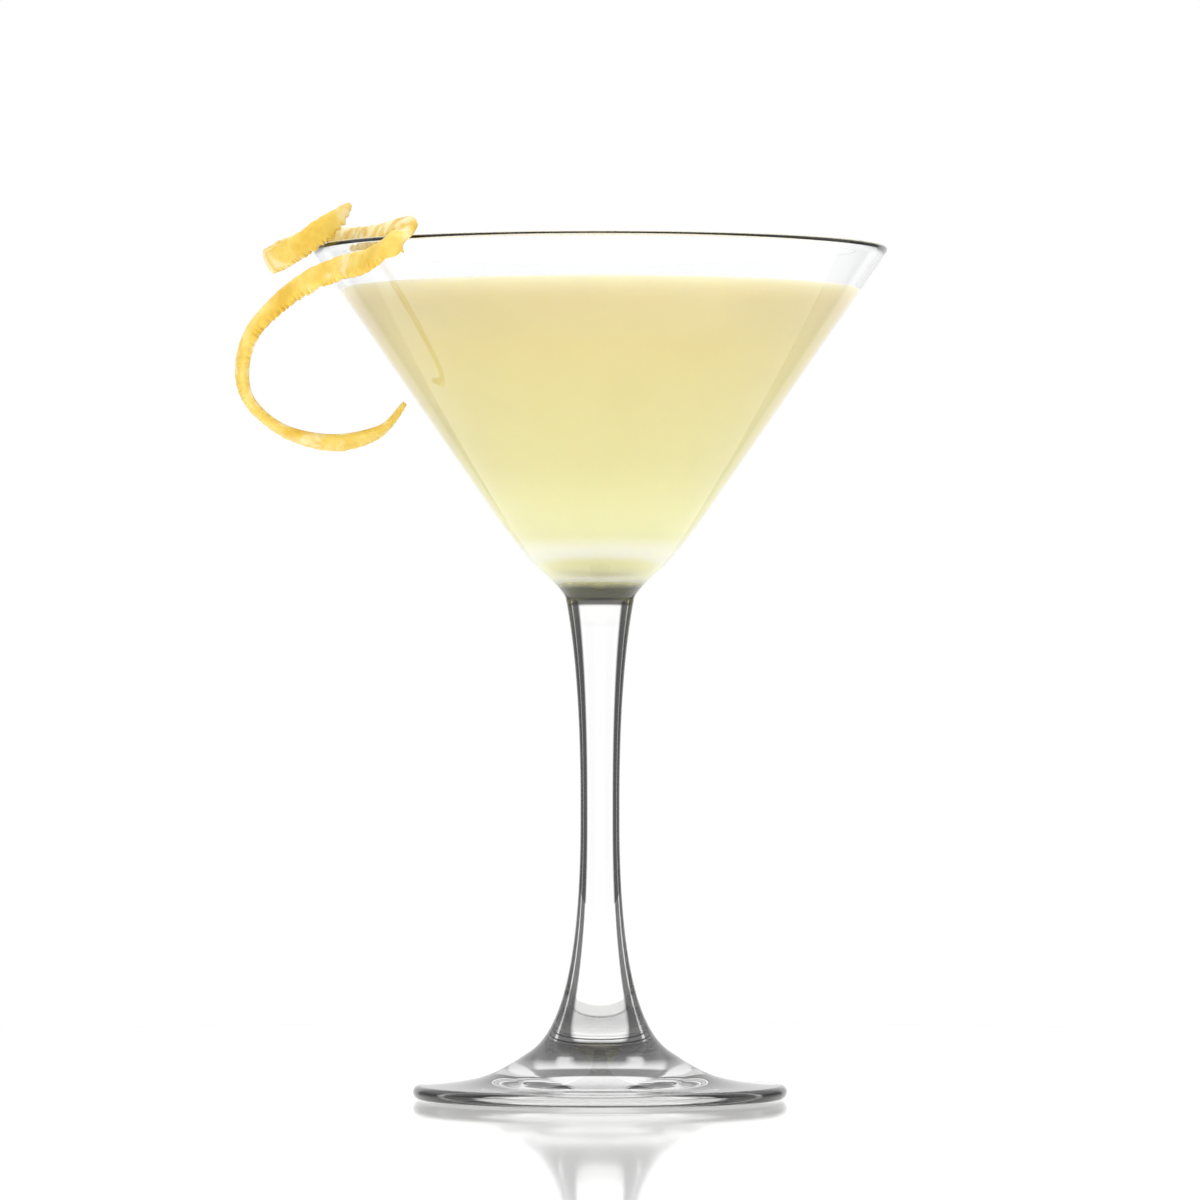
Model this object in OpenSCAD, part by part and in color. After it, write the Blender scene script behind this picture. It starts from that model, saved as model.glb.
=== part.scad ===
// Martini cocktail: a stemmed glass, the drink in it and a twist of lemon peel on its rim.
// Millimetres. Z is up, Z = 0 is the table, and the glass turns round the Z axis.

/* [Glass] */

// height from the table to the top of the lip
glass_height = 175; // [160:1:200]
// widest diameter, at the lip
rim_diameter = 118.2; // [106:0.1:135]
// thickness of the bowl's wall
wall = 1.35; // [1.1:0.05:2.4]
// angle between the bowl's side and the upright
bowl_angle = 34.7; // [31:0.1:37]
// depth of the hollow in the bowl, from the top of the lip to its lowest point
bowl_depth = 64.8; // [57:0.1:67]
// drop from the lowest point of the hollow to the neck, where the stem starts to open into the bowl
bowl_base = 7.5; // [6.2:0.1:12.2]
// diameter of the stem at the neck
neck_diameter = 14.1; // [12:0.1:18]

/* [Stem and foot] */

// thinnest diameter of the stem
stem_diameter = 8.06; // [7:0.01:11]
// height of the lower end of the thinnest stretch
waist_height = 57; // [45:0.5:70]
// length of the thinnest stretch
waist_length = 3; // [1:0.5:15]
// diameter of the foot
foot_diameter = 76.9; // [68:0.1:90]
// thickness of the foot at its edge
foot_edge = 2.75; // [2:0.05:4]

/* [Drink] */

// clear height from the surface of the drink to the top of the lip
headroom = 8.1; // [5:0.1:40]

/* [Lemon twist] */

// width of the strip of peel
peel_width = 4.8; // [4:0.1:6]
// thickness of the strip
peel_thickness = 2.3; // [1.6:0.1:2.8]

/* [Hidden] */

$fn = 96;

// Angle of the stem's side at the neck, and of the glass where it starts to round into the bowl
neck_slope = 10.8;
knuckle_slope = 51.6;
// From the neck to the knuckle under the bowl, and from there to the straight side
knuckle_out = 5.8;
knuckle_up = 6.4;
side_up = 10.9;
// The foot's upper side dips from the stem through this shoulder
shoulder_out = 10.37;
shoulder_height = 9.7;
shoulder_slope = 33.8;

lip_radius = wall / 2;
// Centre of the round lip, which also ends the middle of the wall
lip_r = rim_diameter / 2 - lip_radius;
lip_z = glass_height - lip_radius;
side = [sin(bowl_angle), cos(bowl_angle)];
square_off = [cos(bowl_angle), -sin(bowl_angle)];
// Ball that rounds the bowl's floor into its straight side
cone_tip_z = lip_z - (lip_r - lip_radius / cos(bowl_angle)) / tan(bowl_angle);
bowl_floor_height = glass_height - bowl_depth;
neck_height = bowl_floor_height - bowl_base;
floor_radius = (bowl_floor_height - cone_tip_z) / (1 / sin(bowl_angle) - 1);
floor_centre_z = bowl_floor_height + floor_radius;
drink_level = glass_height - headroom;

// Points of a cubic curve from a to b that leaves along a_way and arrives along b_way
function curve(a, a_way, b_way, b, steps) = [
    for (i = [1:steps])
        let (t = i / steps, p = a + a_way, q = b - b_way)
            pow(1 - t, 3) * a + 3 * pow(1 - t, 2) * t * p + 3 * (1 - t) * t * t * q + t * t * t * b
];

// Unit direction that leans outwards from the upright by the given angle
function leaning(angle) = [sin(angle), cos(angle)];

// Points on an arc, both ends included
function arc(centre, radius, from, to, steps) = [
    for (i = [0:steps])
        let (angle = from + (to - from) * i / steps)
            centre + radius * [cos(angle), sin(angle)]
];

// Radius of the bowl's hollow at a height on its straight side
function hollow_r(z) = (z - cone_tip_z) * tan(bowl_angle);

// Hollow of the bowl, from its floor on the axis to the end of the round part
function hollow_floor() = arc([0, floor_centre_z], floor_radius, -90, -bowl_angle, 12);

// Underside and round edge of the foot, from the axis to the start of its upper side
function foot_outline() = let (edge = foot_edge / 2) concat(
    [[0, 0]],
    arc([foot_diameter / 2 - edge, edge], edge, -90, 90, 10)
);

// Upper side of the foot and the stem, up to the neck
function stem_outline() = let (
    start = [(foot_diameter - foot_edge) / 2, foot_edge],
    shoulder = [stem_diameter / 2 + shoulder_out, shoulder_height],
    waist = [stem_diameter / 2, waist_height],
    waist_top = [stem_diameter / 2, waist_height + waist_length],
    neck = [neck_diameter / 2, neck_height],
    shoulder_way = [-cos(shoulder_slope), sin(shoulder_slope)]
) concat(
    curve(start, [-12.6, 0.4], 8.6 * shoulder_way, shoulder, 9),
    curve(shoulder, 5.4 * shoulder_way, [0, 35], waist, 14),
    curve(waist_top, [0, 14.1], 13.2 * leaning(neck_slope), neck, 12)
);

// Rounding from the neck into the straight side of the bowl
function cup_outline() = let (
    neck = [neck_diameter / 2, neck_height],
    knuckle = neck + [knuckle_out, knuckle_up],
    foot_of_side_z = neck_height + knuckle_up + side_up,
    outer_r = hollow_r(foot_of_side_z) + wall / cos(bowl_angle)
) concat(
    curve(neck, 1.7 * leaning(neck_slope), 1.8 * leaning(knuckle_slope), knuckle, 6),
    curve(knuckle, 2.3 * leaning(knuckle_slope), 3.5 * side, [outer_r, foot_of_side_z], 6)
);

module glass() {
    color([0.86, 0.92, 0.95, 0.5])
        rotate_extrude()
            polygon(concat(
                foot_outline(),
                stem_outline(),
                [[stem_diameter / 2, waist_height + waist_length]],
                cup_outline(),
                arc([lip_r, lip_z], lip_radius, -bowl_angle, 180 - bowl_angle, 10),
                [for (i = [12:-1:0]) hollow_floor()[i]]
            ));
}

module drink() {
    color([0.93, 0.89, 0.62])
        rotate_extrude()
            polygon(concat(
                hollow_floor(),
                [[hollow_r(drink_level), drink_level], [0, drink_level]]
            ));
}

// Middle line of the peel, from its short end to its hanging end. Each point has the turn
// round the rim from the left to the front, how far it lies out from the lip's middle and
// up from its top, and the direction of the strip's width.
peel_path = [
    [19.0, -4.5, 7.5, [-0.54, -0.05, 0.84]],
    [19.9, 0.0, 3.5, [-0.57, -0.02, 0.82]],
    [17.0, 3.9, 0.3, [-0.55, 0.00, 0.83]],
    [11.5, 6.5, -1.7, [-0.50, 0.05, 0.86]],
    [4.3, 8.8, -2.8, [-0.42, 0.05, 0.90]],
    [-3.8, 9.2, -1.9, [-0.30, 0.10, 0.93]],
    [-10.7, 6.5, 0.6, [-0.10, 0.40, 0.91]],
    [-12.7, 1.5, 2.1, [0.05, 0.72, 0.69]],
    [-5.7, -3.0, 2.0, [0.05, 0.70, 0.72]],
    [10.7, -7.0, 1.1, [0.05, 0.45, 0.89]],
    [29.4, -6.5, 0.9, [0.20, 0.40, 0.90]],
    [39.6, -3.9, 1.5, [0.50, 0.25, 0.82]],
    [47.5, -0.9, 1.95, [0.80, 0.05, 0.52]],
    [50.2, 3.0, -0.5, [0.65, 0.16, 0.65]],
    [48.2, 5.5, -2.7, [0.49, 0.16, 0.96]],
    [41.3, 4.2, -4.9, [0.14, 0.22, 0.93]],
    [30.6, 1.8, -5.4, [0.10, 0.20, 0.95]],
    [22.0, 4.3, -7.5, [-0.15, 0.45, 0.85]],
    [16.4, 8.7, -11.5, [-0.35, 0.72, 0.60]],
    [12.8, 14.0, -18.0, [-0.42, 0.86, 0.25]],
    [11.3, 15.9, -25.5, [-0.42, 0.90, 0.00]],
    [11.1, 14.1, -32.4, [-0.18, 0.97, -0.10]],
    [11.9, 7.1, -38.2, [0.20, 0.90, -0.35]],
    [14.5, -2.6, -40.5, [0.12, 0.82, -0.56]],
    [18.5, -11.2, -38.1, [-0.20, 0.85, -0.48]],
    [21.9, -15.5, -32.5, [-0.40, 0.85, -0.33]]
];
peel_last = len(peel_path) - 1;
rings_per_point = 5;
peel_rings = peel_last * rings_per_point;
peel_sides = 14;
// Blunting of the section's corners: 1 is an oval, less is squarer
peel_corner = 0.7;
// Points over which each end narrows, and how wide the very ends stay
taper_start = 1.4;
taper_end = 2.1;
tip_width = 0.2;

// Section, lip and rim that the middle line's points were chosen for
route_width = 4.8;
route_thickness = 2.3;
route_lip_radius = 0.675;
route_rim_r = 58.425;

function unit(v) = v / norm(v);

// The strip keeps its length round any rim. It moves straight off the lip by as much as its
// half section and the lip grow.
function peel_place(i) = let (
    p = peel_path[i],
    turn = p[0] * route_rim_r / lip_r,
    away = unit([p[1], p[2] + route_lip_radius]),
    away_3d = [-away[0] * cos(turn), -away[0] * sin(turn), away[1]],
    width_share = abs(unit(p[3]) * away_3d),
    thickness_share = sqrt(1 - min(1, width_share * width_share)),
    growth = width_share * (peel_width - route_width) / 2
        + thickness_share * (peel_thickness - route_thickness) / 2
        + lip_radius - route_lip_radius,
    out = p[1] + growth * away[0],
    up = p[2] + route_lip_radius + growth * away[1]
) [-(lip_r + out) * cos(turn), -(lip_r + out) * sin(turn), lip_z + up];

peel_places = [for (i = [0:peel_last]) peel_place(i)];
peel_widths = [for (i = [0:peel_last]) peel_path[i][3]];

// Smooth line through all the values of a list, at any place t along it
function through(list, t) = let (
    i = min(floor(t), len(list) - 2),
    f = t - i,
    a = list[max(i - 1, 0)],
    b = list[i],
    c = list[i + 1],
    d = list[min(i + 2, len(list) - 1)]
) 0.5 * (2 * b + (c - a) * f + (2 * a - 5 * b + 4 * c - d) * f * f + (3 * b - a - 3 * c + d) * f * f * f);

function rounded_power(v) = sign(v) * pow(abs(v), peel_corner);

// Share of the full width at a place along the strip
function peel_taper(t) = let (
    near_start = sin(90 * min(1, t / taper_start)),
    near_end = sin(90 * min(1, (peel_last - t) / taper_end))
) tip_width + (1 - tip_width) * min(near_start, near_end);

// One section of the strip
function peel_ring(t) = let (
    step = 0.02,
    middle = through(peel_places, t),
    ahead = through(peel_places, min(t + step, peel_last)),
    behind = through(peel_places, max(t - step, 0)),
    along = unit(ahead - behind),
    hint = through(peel_widths, t),
    across = unit(hint - (hint * along) * along),
    face = cross(across, along),
    half_width = peel_width / 2 * peel_taper(t),
    half_thickness = peel_thickness / 2 * sqrt(peel_taper(t))
) [
    for (k = [0:peel_sides - 1])
        let (angle = 360 * (k + 0.5) / peel_sides)
            middle + half_width * rounded_power(cos(angle)) * across
                + half_thickness * rounded_power(sin(angle)) * face
];

module lemon_twist() {
    rings = [for (i = [0:peel_rings]) peel_ring(i / rings_per_point)];
    points = [for (ring = rings) each ring];
    first_cap = [for (k = [0:peel_sides - 1]) k];
    last_cap = [for (k = [peel_sides - 1:-1:0]) peel_rings * peel_sides + k];
    walls = [
        for (i = [0:peel_rings - 1])
            for (k = [0:peel_sides - 1])
                let (
                    here = i * peel_sides,
                    next = (k + 1) % peel_sides,
                    a = here + k,
                    b = here + next,
                    c = here + peel_sides + next,
                    d = here + peel_sides + k
                )
                    each [[a, d, c], [a, c, b]]
    ];
    color([0.95, 0.78, 0.30])
        polyhedron(points, concat([first_cap], walls, [last_cap]), convexity = 8);
}

glass();
drink();
lemon_twist();
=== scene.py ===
import bpy
import numpy as np
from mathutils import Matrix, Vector


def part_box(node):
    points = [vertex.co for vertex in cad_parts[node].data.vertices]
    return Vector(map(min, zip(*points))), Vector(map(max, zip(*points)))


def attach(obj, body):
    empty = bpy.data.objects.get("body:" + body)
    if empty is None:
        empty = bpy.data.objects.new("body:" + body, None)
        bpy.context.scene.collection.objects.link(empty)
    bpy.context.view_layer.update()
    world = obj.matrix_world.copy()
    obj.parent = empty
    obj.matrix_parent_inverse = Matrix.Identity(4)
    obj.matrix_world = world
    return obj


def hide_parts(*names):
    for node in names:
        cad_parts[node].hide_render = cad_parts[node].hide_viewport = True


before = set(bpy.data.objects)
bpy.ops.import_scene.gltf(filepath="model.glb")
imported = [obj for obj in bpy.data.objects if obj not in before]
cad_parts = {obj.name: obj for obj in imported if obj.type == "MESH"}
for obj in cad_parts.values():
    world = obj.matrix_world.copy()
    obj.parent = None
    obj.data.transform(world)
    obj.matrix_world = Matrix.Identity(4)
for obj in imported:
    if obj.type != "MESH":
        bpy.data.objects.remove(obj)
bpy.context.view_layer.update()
mm = 0.001

# Sizes taken from the frame
glassLow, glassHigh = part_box("glass")
drinkLow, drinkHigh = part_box("drink")
rimRadius = (glassHigh[1] - glassLow[1]) / 2 / mm
glassHeight = glassHigh[2] / mm
drinkLevel = drinkHigh[2] / mm
bowlFloor = drinkLow[2] / mm


def curvePoints(start, startWay, endWay, end, steps):
    # cubic curve: the four points weighted by the cubic Bernstein shares, the start left out
    t = np.linspace(0, 1, steps + 1)[1:, None]
    a, d = np.array(start, float), np.array(end, float)
    b, c = a + np.array(startWay), d - np.array(endWay)
    return (1 - t) ** 3 * a + 3 * (1 - t) ** 2 * t * b + 3 * (1 - t) * t ** 2 * c + t ** 3 * d


def arcPoints(centre, radius, fromAngle, toAngle, steps):
    # part of a circle, walked in equal angles
    angle = np.radians(np.linspace(fromAngle, toAngle, steps + 1))
    return np.array(centre) + radius * np.stack([np.cos(angle), np.sin(angle)], 1)


def straightPoints(start, end, steps):
    # line from start to end in equal steps, the start left out
    t = np.linspace(0, 1, steps + 1)[1:, None]
    return np.array(start) * (1 - t) + np.array(end) * t


def leaning(angle):
    # unit direction leaning outwards from the upright
    return np.array([np.sin(np.radians(angle)), np.cos(np.radians(angle))])


def unitRows(v):
    # each row divided by its own length
    return v / np.linalg.norm(v, axis=1)[:, None]


def makeMesh(name, points, faces):
    # points in millimetres become a smooth mesh in metres
    mesh = bpy.data.meshes.new(name)
    mesh.from_pydata((points * mm).tolist(), [], faces)
    mesh.validate()
    mesh.polygons.foreach_set("use_smooth", np.ones(len(mesh.polygons), bool))
    mesh.update()
    piece = bpy.data.objects.new(name, mesh)
    bpy.context.scene.collection.objects.link(piece)
    return piece


def tubeFaces(rows, columns, startPole, endPole):
    # quads between neighbouring closed rings, and a fan of triangles from each pole to the ring beside it
    i, j = np.meshgrid(np.arange(rows - 1), np.arange(columns), indexing="ij")
    k = (j + 1) % columns
    quads = np.stack([i * columns + j, i * columns + k, (i + 1) * columns + k, (i + 1) * columns + j], -1)
    j = np.arange(columns)
    k = (j + 1) % columns
    last = (rows - 1) * columns
    startFan = np.stack([np.full(columns, startPole), k, j], 1)
    endFan = np.stack([last + j, last + k, np.full(columns, endPole)], 1)
    return quads.reshape(-1, 4).tolist() + startFan.tolist() + endFan.tolist()


def spinProfile(name, profile, around):
    # each profile point (r, z) becomes a ring r cos a, r sin a, z; the two end points lie on the axis
    inner = profile[1:-1]
    angle = np.linspace(0, 2 * np.pi, around, endpoint=False)
    rings = np.stack([
        inner[:, :1] * np.cos(angle),
        inner[:, :1] * np.sin(angle),
        np.repeat(inner[:, 1:], around, 1),
    ], -1).reshape(-1, 3)
    points = np.vstack([rings, [0, 0, profile[0, 1]], [0, 0, profile[-1, 1]]])
    return makeMesh(name, points, tubeFaces(len(inner), around, len(points) - 2, len(points) - 1))


class Wire:
    # a node's output that takes part in sums, so that 1 - mask adds a Math node
    def __init__(self, recipe, socket):
        self.recipe = recipe
        self.socket = socket

    def sum(self, operation, *others):
        sockets = dict(enumerate((self, *others)))
        return self.recipe.add("ShaderNodeMath", {"operation": operation}, sockets)

    def __sub__(self, other):
        return self.sum("SUBTRACT", other)

    def __rsub__(self, other):
        return self.recipe.add("ShaderNodeMath", {"operation": "SUBTRACT"}, {0: other, 1: self})

    def __mul__(self, other):
        return self.sum("MULTIPLY", other)

    def __truediv__(self, other):
        return self.sum("DIVIDE", other)

    __rmul__ = __mul__


class Recipe:
    # a node tree that is filled by one method
    def __init__(self, tree):
        self.tree = tree
        tree.nodes.clear()

    def add(self, kind, settings=None, sockets=None, out=0):
        node = self.tree.nodes.new(kind)
        for key, value in (settings or {}).items():
            if key == "stops":
                self.fillRamp(node.color_ramp, value)
            else:
                setattr(node, key, value)
        for key, value in (sockets or {}).items():
            if isinstance(value, Wire):
                self.tree.links.new(value.socket, node.inputs[key])
            else:
                node.inputs[key].default_value = value
        return Wire(self, node.outputs[out]) if len(node.outputs) else None

    def fillRamp(self, ramp, stops):
        # a stop is a place and a colour, or a place and a single grey
        while len(ramp.elements) > 1:
            ramp.elements.remove(ramp.elements[-1])
        for place, (position, colour) in enumerate(stops):
            element = ramp.elements[0] if place == 0 else ramp.elements.new(position)
            element.position = position
            element.color = (*colour, 1) if len(colour) == 3 else (colour[0],) * 3 + (1,)

    def ramp(self, factor, stops):
        return self.add("ShaderNodeValToRGB", {"stops": stops}, {"Fac": factor})

    def mapped(self, value, low, high, atLow=0.0, atHigh=1.0, kind="LINEAR"):
        # atLow to atHigh as the value goes from low to high
        sockets = {"Value": value, "From Min": low, "From Max": high, "To Min": atLow, "To Max": atHigh}
        return self.add("ShaderNodeMapRange", {"interpolation_type": kind}, sockets)

    def span(self, value, low, high, atLow=0.0, atHigh=1.0):
        # the same with a soft start and end
        return self.mapped(value, low, high, atLow, atHigh, "SMOOTHSTEP")

    def band(self, value, lowLevel, lowPair, highLevel, highPair):
        # up over the low pair and back down over the high pair, each pair measured from its own level
        up = self.span(value, lowLevel + lowPair[0], lowLevel + lowPair[1])
        return up * self.span(value, highLevel + highPair[0], highLevel + highPair[1])

    def mixColour(self, factor, first, second):
        # sockets 0, 6 and 7 are a colour mix's factor and its two colours, and output 2 is its result
        return self.add("ShaderNodeMix", {"data_type": "RGBA"}, {0: factor, 6: first, 7: second}, out=2)

    def noise(self, scale, vector, roughness):
        sockets = {"Scale": scale, "Detail": 3.0, "Roughness": roughness, "Vector": vector}
        return self.add("ShaderNodeTexNoise", None, sockets)

    def finish(self, shader, kind="ShaderNodeOutputMaterial"):
        self.add(kind, None, {"Surface": shader})


def newFinish(name):
    material = bpy.data.materials.new(name)
    material.use_nodes = True
    return material, Recipe(material.node_tree)


camera = {"back": 1.59, "height": 0.087, "aim": 0.1024, "lens": 232.0, "sensor": 36, "sees": 60}


def makeCamera():
    # a long lens in front of the glass, aimed a little above the middle of its height
    data = bpy.data.cameras.new("camera")
    data.lens = camera["lens"]
    data.sensor_width = camera["sensor"]
    data.clip_end = camera["sees"]
    eye = bpy.data.objects.new("camera", data)
    bpy.context.scene.collection.objects.link(eye)
    eye.location = (0, -camera["back"], camera["height"])
    towards = Vector((0, 0, camera["aim"])) - eye.location
    eye.rotation_euler = towards.to_track_quat("-Z", "Y").to_euler()
    bpy.context.scene.camera = eye


makeCamera()
print("camera set")

glass = {
    "wall": 1.35,
    "bowlAngle": 34.7,
    "neckHeight": 102.7,
    "neckDiameter": 14.1,
    "neckSlope": 10.8,
    "kneeSlope": 51.6,
    "kneeOut": 5.8,
    "kneeUp": 6.4,
    "sideUp": 10.9,
    "stemDiameter": 8.06,
    "waistHeight": 57.0,
    "waistLength": 3.0,
    "shoulderOut": 10.37,
    "shoulderHeight": 9.7,
    "shoulderSlope": 33.8,
    "footDiameter": 76.9,
    "footEdge": 2.75,
    # the lengths of the curves' handles, below and above each place where two meet; the foot's is a vector
    "footPull": [-12.6, 0.4],
    "shoulderPull": (8.6, 5.4),
    "waistPull": (35.0, 14.1),
    "neckPull": (13.2, 1.7),
    "kneePull": (1.8, 2.3),
    "sidePull": 3.5,
    "around": 224,
    "steps": {
        "base": 8, "edge": 20, "foot": 28, "shoulder": 44, "waist": 2, "stem": 30,
        "neck": 16, "knee": 16, "side": 40, "lip": 16, "floor": 22,
    },
    # painted shade: besides the glass's own clear colour, near-black bands with a thin lighter painted line
    # darken the stem and foot edge towards their outline, and near-black rings are painted at each end of the
    # stem; each pair of heights, up from the place in its name, is where one fades in or out
    "clear": (0.985, 0.99, 0.99, 1),
    # the near-black colour of the painted shade rings
    "dark": (0.01, 0.01, 0.01, 1),
    # painted shade by viewing angle: clear when facing, near black towards the outline, with a thin lighter
    # painted line
    "paintedOutlineShadeStops": [
        (0.0, (1.0,)), (0.225, (1.0,)), (0.275, (0.02,)), (0.44, (0.02,)),
        (0.46, (0.5,)), (0.49, (0.5,)), (0.51, (0.02,)), (1.0, (0.02,)),
    ],
    "stemFromShoulder": (-3.5, -1.0),
    "stemToNeck": (4.5, 1.0),
    "rimFromTable": (0.05, 0.3),
    "rimToFootEdge": (-0.1, -0.6),
    "neckRingLow": (-0.9, -0.2),
    "neckRingHigh": (4.6, 1.8),
    "shoulderRingLow": (-1.0, -0.3),
    "shoulderRingHigh": (3.0, 2.2),
    "shoulderRingShare": 0.97,
    "surface": {"Roughness": 0.0, "IOR": 1.5, "Transmission Weight": 1.0},
}
lipRadius = glass["wall"] / 2
lipCentre = np.array([rimRadius - lipRadius, glassHeight - lipRadius])
tilt = np.radians(glass["bowlAngle"])
hollowTip = lipCentre[1] - (lipCentre[0] - lipRadius / np.cos(tilt)) / np.tan(tilt)
floorRadius = (bowlFloor - hollowTip) / (1 / np.sin(tilt) - 1)


def hollowRadius(height):
    # the bowl's hollow is a cone from its tip
    return (height - hollowTip) * np.tan(tilt)


def glassProfile():
    # foot, stem, bowl and lip as one outline, then down the hollow to the axis
    g = glass
    steps = g["steps"]
    edge = g["footEdge"] / 2
    flatEnd = g["footDiameter"] / 2 - edge
    footTop = [flatEnd, g["footEdge"]]
    shoulder = [g["stemDiameter"] / 2 + g["shoulderOut"], g["shoulderHeight"]]
    shoulderAngle = np.radians(g["shoulderSlope"])
    shoulderWay = np.array([-np.cos(shoulderAngle), np.sin(shoulderAngle)])
    waist = [g["stemDiameter"] / 2, g["waistHeight"]]
    waistTop = [g["stemDiameter"] / 2, g["waistHeight"] + g["waistLength"]]
    neck = np.array([g["neckDiameter"] / 2, g["neckHeight"]])
    neckWay = leaning(g["neckSlope"])
    knee = neck + [g["kneeOut"], g["kneeUp"]]
    kneeWay = leaning(g["kneeSlope"])
    sideStart = g["neckHeight"] + g["kneeUp"] + g["sideUp"]
    sideWay = leaning(g["bowlAngle"])
    sidePoint = [hollowRadius(sideStart) + g["wall"] / np.cos(tilt), sideStart]
    lipStart = lipCentre + lipRadius * np.array([np.cos(tilt), -np.sin(tilt)])
    shoulderIn, shoulderOut = g["shoulderPull"]
    waistIn, waistOut = g["waistPull"]
    neckIn, neckOut = g["neckPull"]
    kneeIn, kneeOut = g["kneePull"]
    floor = arcPoints([0, bowlFloor + floorRadius], floorRadius, -90, -g["bowlAngle"], steps["floor"])
    lip = arcPoints(lipCentre, lipRadius, -g["bowlAngle"], 180 - g["bowlAngle"], steps["lip"])
    return np.vstack([
        [[0, 0]],
        straightPoints([0, 0], [flatEnd, 0], steps["base"]),
        arcPoints([flatEnd, edge], edge, -90, 90, steps["edge"])[1:],
        curvePoints(footTop, g["footPull"], shoulderIn * shoulderWay, shoulder, steps["foot"]),
        curvePoints(shoulder, shoulderOut * shoulderWay, [0, waistIn], waist, steps["shoulder"]),
        straightPoints(waist, waistTop, steps["waist"]),
        curvePoints(waistTop, [0, waistOut], neckIn * neckWay, neck, steps["stem"]),
        curvePoints(neck, neckOut * neckWay, kneeIn * kneeWay, knee, steps["neck"]),
        curvePoints(knee, kneeOut * kneeWay, g["sidePull"] * sideWay, sidePoint, steps["knee"]),
        straightPoints(sidePoint, lipStart, steps["side"]),
        lip[1:],
        straightPoints(lip[-1], floor[-1], steps["side"]),
        floor[-2::-1],
    ])


def clearGlassFinish():
    # clear glass that lets the lamps through to the drink and the table
    # painted shade: the stem and the foot's edge darken towards their outline by viewing angle, with a thin
    # lighter painted line in that band, and a painted near-black ring at each end of the stem
    g = glass
    material, r = newFinish("clearGlass")
    place = r.add("ShaderNodeTexCoord", out="Object")
    height = r.add("ShaderNodeSeparateXYZ", None, {0: place}, "Z") / mm
    slant = r.add("ShaderNodeLayerWeight", None, {"Blend": 0.5}, "Facing")
    neck, shoulder = g["neckHeight"], g["shoulderHeight"]
    stem = r.band(height, shoulder, g["stemFromShoulder"], neck, g["stemToNeck"])
    footRim = r.band(height, 0, g["rimFromTable"], g["footEdge"], g["rimToFootEdge"])
    neckRing = r.band(height, neck, g["neckRingLow"], neck, g["neckRingHigh"])
    shoulderRing = r.band(height, shoulder, g["shoulderRingLow"], shoulder, g["shoulderRingHigh"])
    # painted shade: dark outline bands on the stem and the foot's edge
    paintedShade = r.mixColour(stem.sum("MAXIMUM", footRim), g["clear"], r.ramp(slant, g["paintedOutlineShadeStops"]))
    # painted shade: near-black rings at the neck and the shoulder
    rings = neckRing.sum("MAXIMUM", shoulderRing * g["shoulderRingShare"])
    paintedShade = r.mixColour(rings, paintedShade, g["dark"])
    shader = r.add("ShaderNodeBsdfPrincipled", None, {"Base Color": paintedShade, **g["surface"]})
    lampRay = r.add("ShaderNodeLightPath", out="Is Shadow Ray")
    clear = r.add("ShaderNodeBsdfTransparent", None, {"Color": g["clear"]})
    r.finish(r.add("ShaderNodeMixShader", None, {0: lampRay, 1: shader, 2: clear}))
    return material


def makeGlass():
    piece = spinProfile("martiniGlass", glassProfile(), glass["around"])
    piece.data.materials.append(clearGlassFinish())
    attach(piece, "root")
    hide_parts("glass")


makeGlass()
print("glass made")

drink = {
    "reach": 0.12,
    "corner": 0.3,
    "cornerPull": 0.6,
    "around": 192,
    "steps": {"floor": 30, "side": 50, "corner": 5, "surface": 26},
    # colours from the bottom of the drink to its surface, mostly darker towards the top, with a painted
    # highlight band just above the bottom
    "heightStopsWithPaintedHighlight": [
        (0.0, (0.94, 0.90, 0.46)), (0.025, (0.94, 0.90, 0.46)),
        # painted highlight: the near-white band
        (0.04, (1.0, 0.98, 0.80)), (0.06, (1.0, 0.98, 0.80)),
        (0.10, (0.85, 0.84, 0.485)), (0.35, (0.735, 0.69, 0.33)),
        (0.75, (0.675, 0.59, 0.255)), (0.93, (0.61, 0.54, 0.28)), (1.0, (0.64, 0.58, 0.43)),
    ],
    "hazeScale": 28.0,
    "hazeRoughness": 0.55,
    "hazeStart": 0.35,
    "hazeShare": 0.5,
    "hazeTint": (0.92, 0.84, 0.52, 1),
    "surface": {
        "Roughness": 0.12,
        "IOR": 1.34,
        "Subsurface Weight": 0.5,
        "Subsurface Radius": (1.0, 0.8, 0.35),
        "Subsurface Scale": 0.012,
        "Sheen Weight": 1.0,
        "Sheen Roughness": 0.4,
    },
}


def drinkProfile():
    # the hollow moved a little into the wall, closed by the still surface
    way = leaning(glass["bowlAngle"])
    steps = drink["steps"]
    bottomRadius = floorRadius + drink["reach"]
    floor = arcPoints([0, bowlFloor + floorRadius], bottomRadius, -90, -glass["bowlAngle"], steps["floor"])
    topRadius = hollowRadius(drinkLevel) + drink["reach"] / np.cos(tilt)
    corner = drink["corner"]
    pull = drink["cornerPull"] * corner
    sideEnd = np.array([topRadius, drinkLevel]) - corner * way
    rounding = curvePoints(sideEnd, pull * way, [-pull, 0], [topRadius - corner, drinkLevel], steps["corner"])
    return np.vstack([
        floor,
        straightPoints(floor[-1], sideEnd, steps["side"]),
        rounding,
        straightPoints(rounding[-1], [0, drinkLevel], steps["surface"]),
    ])


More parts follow.
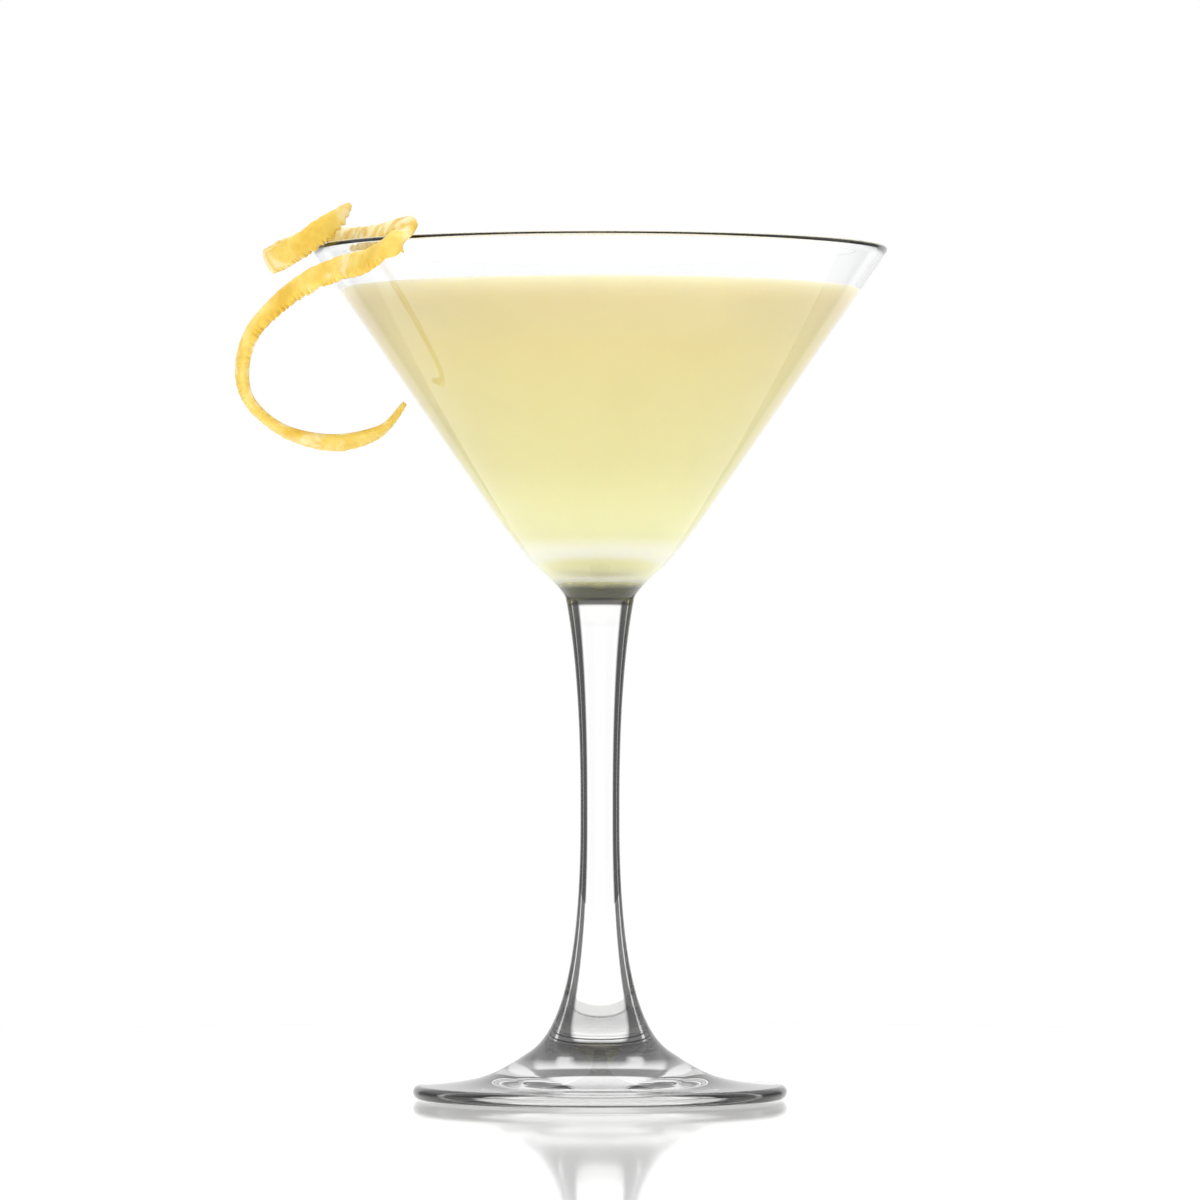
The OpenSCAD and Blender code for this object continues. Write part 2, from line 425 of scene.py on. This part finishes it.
def cloudyDrinkFinish():
    # coloured by height, with a painted highlight band near the bottom and a soft cloudiness mixed in
    material, r = newFinish("cloudyDrink")
    place = r.add("ShaderNodeTexCoord", out="Object")
    height = r.add("ShaderNodeSeparateXYZ", None, {0: place}, "Z")
    # this ramp by height carries the painted highlight band
    depth = r.ramp(r.mapped(height, bowlFloor * mm, drinkLevel * mm), drink["heightStopsWithPaintedHighlight"])
    haze = r.noise(drink["hazeScale"], place, drink["hazeRoughness"])
    haze = (haze - drink["hazeStart"]) * drink["hazeShare"]
    colour = r.mixColour(haze, depth, drink["hazeTint"])
    r.finish(r.add("ShaderNodeBsdfPrincipled", None, {"Base Color": colour, **drink["surface"]}))
    return material


def makeDrink():
    piece = spinProfile("paleDrink", drinkProfile(), drink["around"])
    piece.data.materials.append(cloudyDrinkFinish())
    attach(piece, "root")
    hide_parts("drink")


makeDrink()
print("drink made")

# Places along the strip, such as calmFrom, are counted in points of its path
peel = {
    "width": 4.8,
    "thickness": 2.3,
    "restGap": 0.2,
    "corner": 0.7,
    "shrink": 0.97,
    "tip": 0.2,
    "taperStart": 1.4,
    "taperEnd": 2.1,
    "ringsPerPoint": 36,
    "sides": 56,
    "lookAhead": 0.02,
    "toothDepth": 0.8,
    "toothLength": 1.55,
    "toothDrift": 0.5,
    "toothPower": 1.5,
    "driftWaves": ([7.3, 4.1], 5),
    "calmFrom": 5.5,
    "calmTo": 13,
    "calmShare": 0.9,
    "hangFrom": 18.5,
    "hangOver": 1.5,
    "lowBack": 0.35,
    "lowWave": 0.26,
    "lowWaves": ([5.1, 3.3, 2.1], 4),
    "lowCalmShare": 0.93,
    "highBack": 0.05,
    "highWave": 0.12,
    "highWaves": ([9.0, 4.2, 2.3], 8),
    "highTeeth": 0.1,
    "outerTeeth": 0.22,
    "skinStops": [(0.3, (0.60, 0.38, 0.036)), (0.5, (0.67, 0.47, 0.077)), (0.72, (0.73, 0.57, 0.163))],
    "underStops": [(0.36, (0.60, 0.37, 0.036)), (0.5, (0.66, 0.47, 0.10)), (0.62, (0.75, 0.65, 0.385))],
    "tipZest": 0.5,
    "underFrom": 0.1,
    "underTo": -0.5,
    "blotchScale": 210.0,
    "blotchRoughness": 0.55,
    "patchScale": 120.0,
    "patchRoughness": 0.6,
    "patchFrom": 0.53,
    "patchTo": 0.66,
    "patchShare": 0.65,
    "patchTint": (0.76, 0.65, 0.37, 1),
    "poreScale": 950.0,
    "poreWidth": 0.45,
    "poreDepth": 0.7,
    "bump": {"Strength": 0.05, "Distance": 0.0002},
    "surface": {
        "Roughness": 0.42,
        "IOR": 1.45,
        "Subsurface Weight": 0.35,
        "Subsurface Radius": (1.0, 0.6, 0.2),
        "Subsurface Scale": 0.0015,
    },
}
# turn round the rim, out from the lip's middle, up from its top, and the way its width points
peelPath = [
    [19.0, -4.5, 7.5, [-0.54, -0.05, 0.84]],
    [19.9, 0.0, 3.5, [-0.57, -0.02, 0.82]],
    [17.0, 3.9, 0.3, [-0.55, 0.00, 0.83]],
    [11.5, 6.5, -1.7, [-0.50, 0.05, 0.86]],
    [4.3, 8.8, -2.8, [-0.42, 0.05, 0.90]],
    [-3.8, 9.2, -1.9, [-0.30, 0.10, 0.93]],
    [-10.7, 6.5, 0.6, [-0.10, 0.40, 0.91]],
    [-12.7, 1.5, 2.1, [0.05, 0.72, 0.69]],
    [-5.7, -3.0, 2.0, [0.05, 0.70, 0.72]],
    [10.7, -7.0, 1.1, [0.05, 0.45, 0.89]],
    [29.4, -6.5, 0.9, [0.20, 0.40, 0.90]],
    [39.6, -3.9, 1.5, [0.50, 0.25, 0.82]],
    [47.5, -0.9, 1.95, [0.80, 0.05, 0.52]],
    [50.2, 3.0, -0.5, [0.65, 0.16, 0.65]],
    [48.2, 5.5, -2.7, [0.49, 0.16, 0.96]],
    [41.3, 4.2, -4.9, [0.14, 0.22, 0.93]],
    [30.6, 1.8, -5.4, [0.10, 0.20, 0.95]],
    [22.0, 4.3, -7.5, [-0.15, 0.45, 0.85]],
    [16.4, 8.7, -11.5, [-0.35, 0.72, 0.60]],
    [12.8, 14.0, -18.0, [-0.42, 0.86, 0.25]],
    [11.3, 15.9, -25.5, [-0.42, 0.90, 0.00]],
    [11.1, 14.1, -32.4, [-0.18, 0.97, -0.10]],
    [11.9, 7.1, -38.2, [0.20, 0.90, -0.35]],
    [14.5, -2.6, -40.5, [0.12, 0.82, -0.56]],
    [18.5, -11.2, -38.1, [-0.20, 0.85, -0.48]],
    [21.9, -15.5, -32.5, [-0.40, 0.85, -0.33]],
]


def smoothThrough(values, t):
    # uniform Catmull-Rom: each stretch blends its four nearest values by cubic shares of the way along it
    count = len(values)
    i = np.minimum(t.astype(int), count - 2)
    f = (t - i)[:, None]
    a, b, c, d = (values[np.clip(i + step, 0, count - 1)] for step in (-1, 0, 1, 2))
    bend = 2 * a - 5 * b + 4 * c - d
    twist = 3 * b - a - 3 * c + d
    return 0.5 * (2 * b + (c - a) * f + bend * f ** 2 + twist * f ** 3)


def wavyLine(along, periods, seed):
    # sum of sines of unlike periods, about -1 to 1
    phases = np.random.default_rng(seed).uniform(0, 2 * np.pi, len(periods))
    waves = [np.sin(2 * np.pi * along / period + phase) for period, phase in zip(periods, phases)]
    return np.sum(waves, 0) / len(periods) ** 0.6


def peelPlaces():
    # the path's points in space, each moved straight away from the lip by the rest gap
    turn = np.radians([row[0] for row in peelPath])
    offLip = np.array([[row[1], row[2] + lipRadius] for row in peelPath])
    out, up = (lipCentre + offLip + peel["restGap"] * unitRows(offLip)).T
    return np.stack([-out * np.cos(turn), -out * np.sin(turn), up], 1)


def peelDirections(places, t):
    # along runs from just before to just after; across is the width hint less its share of along
    last = len(places) - 1
    ahead = np.minimum(t + peel["lookAhead"], last)
    behind = np.maximum(t - peel["lookAhead"], 0)
    along = unitRows(smoothThrough(places, ahead) - smoothThrough(places, behind))
    hint = smoothThrough(np.array([row[3] for row in peelPath]), t)
    across = unitRows(hint - (hint * along).sum(1)[:, None] * along)
    return across, np.cross(across, along)


def peelEdges(t, length, hanging):
    # how far each edge stands out: waves of its own, and teeth that are a folded ramp of uneven length
    p = peel
    calm = np.clip(t - p["calmFrom"], 0, 1) * np.clip(p["calmTo"] - t, 0, 1)
    folded = (length + p["toothDrift"] * wavyLine(length, *p["driftWaves"])) / p["toothLength"] % 1 * 2 - 1
    teeth = p["toothDepth"] * (1 - p["calmShare"] * calm) * (1 - np.abs(folded) ** p["toothPower"])
    low = np.abs(wavyLine(length, *p["lowWaves"])) * p["lowWave"] + teeth - p["lowBack"]
    low = low * (1 - p["lowCalmShare"] * hanging)
    high = wavyLine(length, *p["highWaves"]) * p["highWave"] - p["highBack"]
    return teeth, low, high - teeth * p["highTeeth"] * hanging


def peelPoints(t):
    # a squarish oval section carried along the path and tapered, its low edge ragged up to where it hangs
    places = peelPlaces()
    middle = smoothThrough(places, t)
    across, face = peelDirections(places, t)
    last = len(places) - 1
    narrow = np.minimum(np.sin(np.pi / 2 * np.minimum(1, t / peel["taperStart"])),
                        np.sin(np.pi / 2 * np.minimum(1, (last - t) / peel["taperEnd"])))
    taper = (peel["tip"] + (1 - peel["tip"]) * narrow)[:, None]
    length = np.concatenate([[0], np.cumsum(np.linalg.norm(np.diff(middle, axis=0), axis=1))])
    hanging = np.clip((t - peel["hangFrom"]) / peel["hangOver"], 0, 1)
    teeth, low, high = peelEdges(t, length, hanging)
    cos, sin = peelSection()
    ragged = low[:, None] * np.clip(-cos, 0, 1) ** 3
    wavy = high[:, None] * np.clip(cos, 0, 1) ** 3
    outerTeeth = peel["outerTeeth"] * (teeth * hanging)[:, None] * np.clip(sin, 0, 1) ** 2
    wide = peel["width"] / 2 * taper * cos * peel["shrink"] - (ragged - wavy) * taper
    thick = peel["thickness"] / 2 * np.sqrt(taper) * sin * peel["shrink"] - outerTeeth * taper
    return middle[:, None] + wide[..., None] * across[:, None] + thick[..., None] * face[:, None]


def peelSection():
    # cosine and sine round the section, raised to a power under one, which squares the oval
    angle = 2 * np.pi * np.arange(peel["sides"]) / peel["sides"]
    return [np.sign(wave) * np.abs(wave) ** peel["corner"] for wave in (np.cos(angle), np.sin(angle))]


def makePeel():
    last = len(peelPath) - 1
    points = peelPoints(np.linspace(0, last, last * peel["ringsPerPoint"] + 1))
    rows, sides = points.shape[:2]
    allPoints = np.vstack([points.reshape(-1, 3), points[0].mean(0), points[-1].mean(0)])
    piece = makeMesh("lemonTwist", allPoints, tubeFaces(rows, sides, rows * sides, rows * sides + 1))
    # zest runs from 1 on the outer face to -1 on the pithy side, with a value of its own at the tips
    zest = np.append(np.broadcast_to(peelSection()[1], (rows, sides)).ravel(), [peel["tipZest"]] * 2)
    zestValue = piece.data.attributes.new("zest", "FLOAT", "POINT")
    zestValue.data.foreach_set("value", zest.astype(np.float32))
    piece.data.materials.append(lemonPeelFinish())
    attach(piece, "root")
    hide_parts("lemon_twist")


def lemonPeelFinish():
    # blotchy skin on one face and a paler underside, with pale patches and fine pores
    p = peel
    material, r = newFinish("lemonPeel")
    place = r.add("ShaderNodeTexCoord", out="Object")
    zest = r.add("ShaderNodeAttribute", {"attribute_name": "zest"}, None, "Fac")
    blotches = r.noise(p["blotchScale"], place, p["blotchRoughness"])
    underside = r.span(zest, p["underFrom"], p["underTo"])
    skin = r.mixColour(underside, r.ramp(blotches, p["skinStops"]), r.ramp(blotches, p["underStops"]))
    patches = r.span(r.noise(p["patchScale"], place, p["patchRoughness"]), p["patchFrom"], p["patchTo"])
    colour = r.mixColour(patches * p["patchShare"], skin, p["patchTint"])
    pores = r.add("ShaderNodeTexVoronoi", {"feature": "F1"}, {"Scale": p["poreScale"], "Vector": place})
    dimple = r.mapped(pores, 0.0, p["poreWidth"]) * p["poreDepth"]
    bump = r.add("ShaderNodeBump", None, {"Height": dimple, **p["bump"]})
    sockets = {"Base Color": colour, "Normal": bump, **p["surface"]}
    r.finish(r.add("ShaderNodeBsdfPrincipled", None, sockets))
    return material


makePeel()
print("lemon twist made")

studio = {
    "tableRadius": 0.34,
    "tableDrop": 0.0003,
    "tableSides": 128,
    "tableSurface": {"Base Color": (0.97, 0.97, 0.97, 1), "Roughness": 0.06, "Specular IOR Level": 0.13},
    # half of each panel's angle and half of its soft edge, in degrees
    "panelHalf": 29.0,
    "panelSoft": 2.5,
    "panel": 1.0,
    "sidePanel": 0.9,
    "gap": 0.3,
    "gapAway": 0.95,
    "gapHeights": (0.12, 0.45),
    "sky": (0.78, 0.78, 0.78, 1),
    "sideways": (0.55, 0.8),
    "skyHeights": (0.55, 0.8),
    "lampAim": 0.1,
    "overhead": {"place": (0, 0, 2.2), "size": 2.4, "power": 38},
    "sideFill": {"place": (2.2, -0.5, 0.1), "size": 1.1, "power": 11},
    "lowFill": {"place": (1.2, 1.9, -0.55), "size": 1.1, "power": 18},
}


def makeFloor():
    # a flat round pale table top, faintly glossy
    angle = np.linspace(0, 2 * np.pi, studio["tableSides"], endpoint=False)
    edge = studio["tableRadius"] * np.stack([np.cos(angle), np.sin(angle), 0 * angle], 1)
    edge[:, 2] -= studio["tableDrop"]
    mesh = bpy.data.meshes.new("studioFloor")
    mesh.from_pydata(edge.tolist(), [], [list(range(len(edge)))])
    floor = bpy.data.objects.new("studioFloor", mesh)
    bpy.context.scene.collection.objects.link(floor)
    material, r = newFinish("paleFloor")
    r.finish(r.add("ShaderNodeBsdfPrincipled", None, studio["tableSurface"]))
    mesh.materials.append(material)


def makeWorld():
    # white panels on four sides, darker gaps between them; the eye itself sees plain white
    s = studio
    world = bpy.data.worlds.new("studio")
    bpy.context.scene.world = world
    world.use_nodes = True
    r = Recipe(world.node_tree)
    direction = r.add("ShaderNodeTexCoord", out="Generated")
    x, y, z = (r.add("ShaderNodeSeparateXYZ", None, {0: direction}, axis) for axis in "XYZ")
    quarter = (y.sum("ARCTAN2", x) * (2 / np.pi)).sum("PINGPONG", 0.5)
    edge, soft = s["panelHalf"] / 90, s["panelSoft"] / 90
    level = r.mapped(x.sum("ABSOLUTE"), *s["sideways"], s["panel"], s["sidePanel"])
    gap = r.span(z.sum("ABSOLUTE"), *s["gapHeights"], s["gap"], s["gapAway"])
    panel = r.ramp(r.span(quarter, edge + soft, edge - soft, gap, level), [(0.0, (0.0,)), (1.0, (1.0,))])
    light = r.mixColour(r.span(z, *s["skyHeights"]), panel, s["sky"])
    seen = r.add("ShaderNodeLightPath", out="Is Camera Ray")
    shown = r.mixColour(seen, light, (1, 1, 1, 1))
    background = r.add("ShaderNodeBackground", None, {"Color": shown, "Strength": 1.0})
    r.finish(background, "ShaderNodeOutputWorld")


def softbox(name, side=1, end=1):
    # a square lamp turned to the glass, unseen by the eye, in reflections and through the glass
    box = studio[name]
    data = bpy.data.lights.new(name, "AREA")
    data.shape = "RECTANGLE"
    data.size = box["size"]
    data.size_y = box["size"]
    data.energy = box["power"]
    lamp = bpy.data.objects.new(name, data)
    bpy.context.scene.collection.objects.link(lamp)
    across, back, up = box["place"]
    place = Vector((across * side, back * end, up))
    lamp.location = place
    towards = Vector((0, 0, studio["lampAim"])) - place
    lamp.rotation_euler = towards.to_track_quat("-Z", "Y").to_euler()
    lamp.visible_camera = False
    lamp.visible_glossy = False
    lamp.visible_transmission = False


makeFloor()
makeWorld()
softbox("overhead")
for side in (-1, 1):
    softbox("sideFill", side)
    for end in (-1, 1):
        # low boxes that light the bowl's underside, out of the picture below the table top
        softbox("lowFill", side, end)
bpy.context.scene.view_settings.view_transform = "Standard"
print("studio lit")
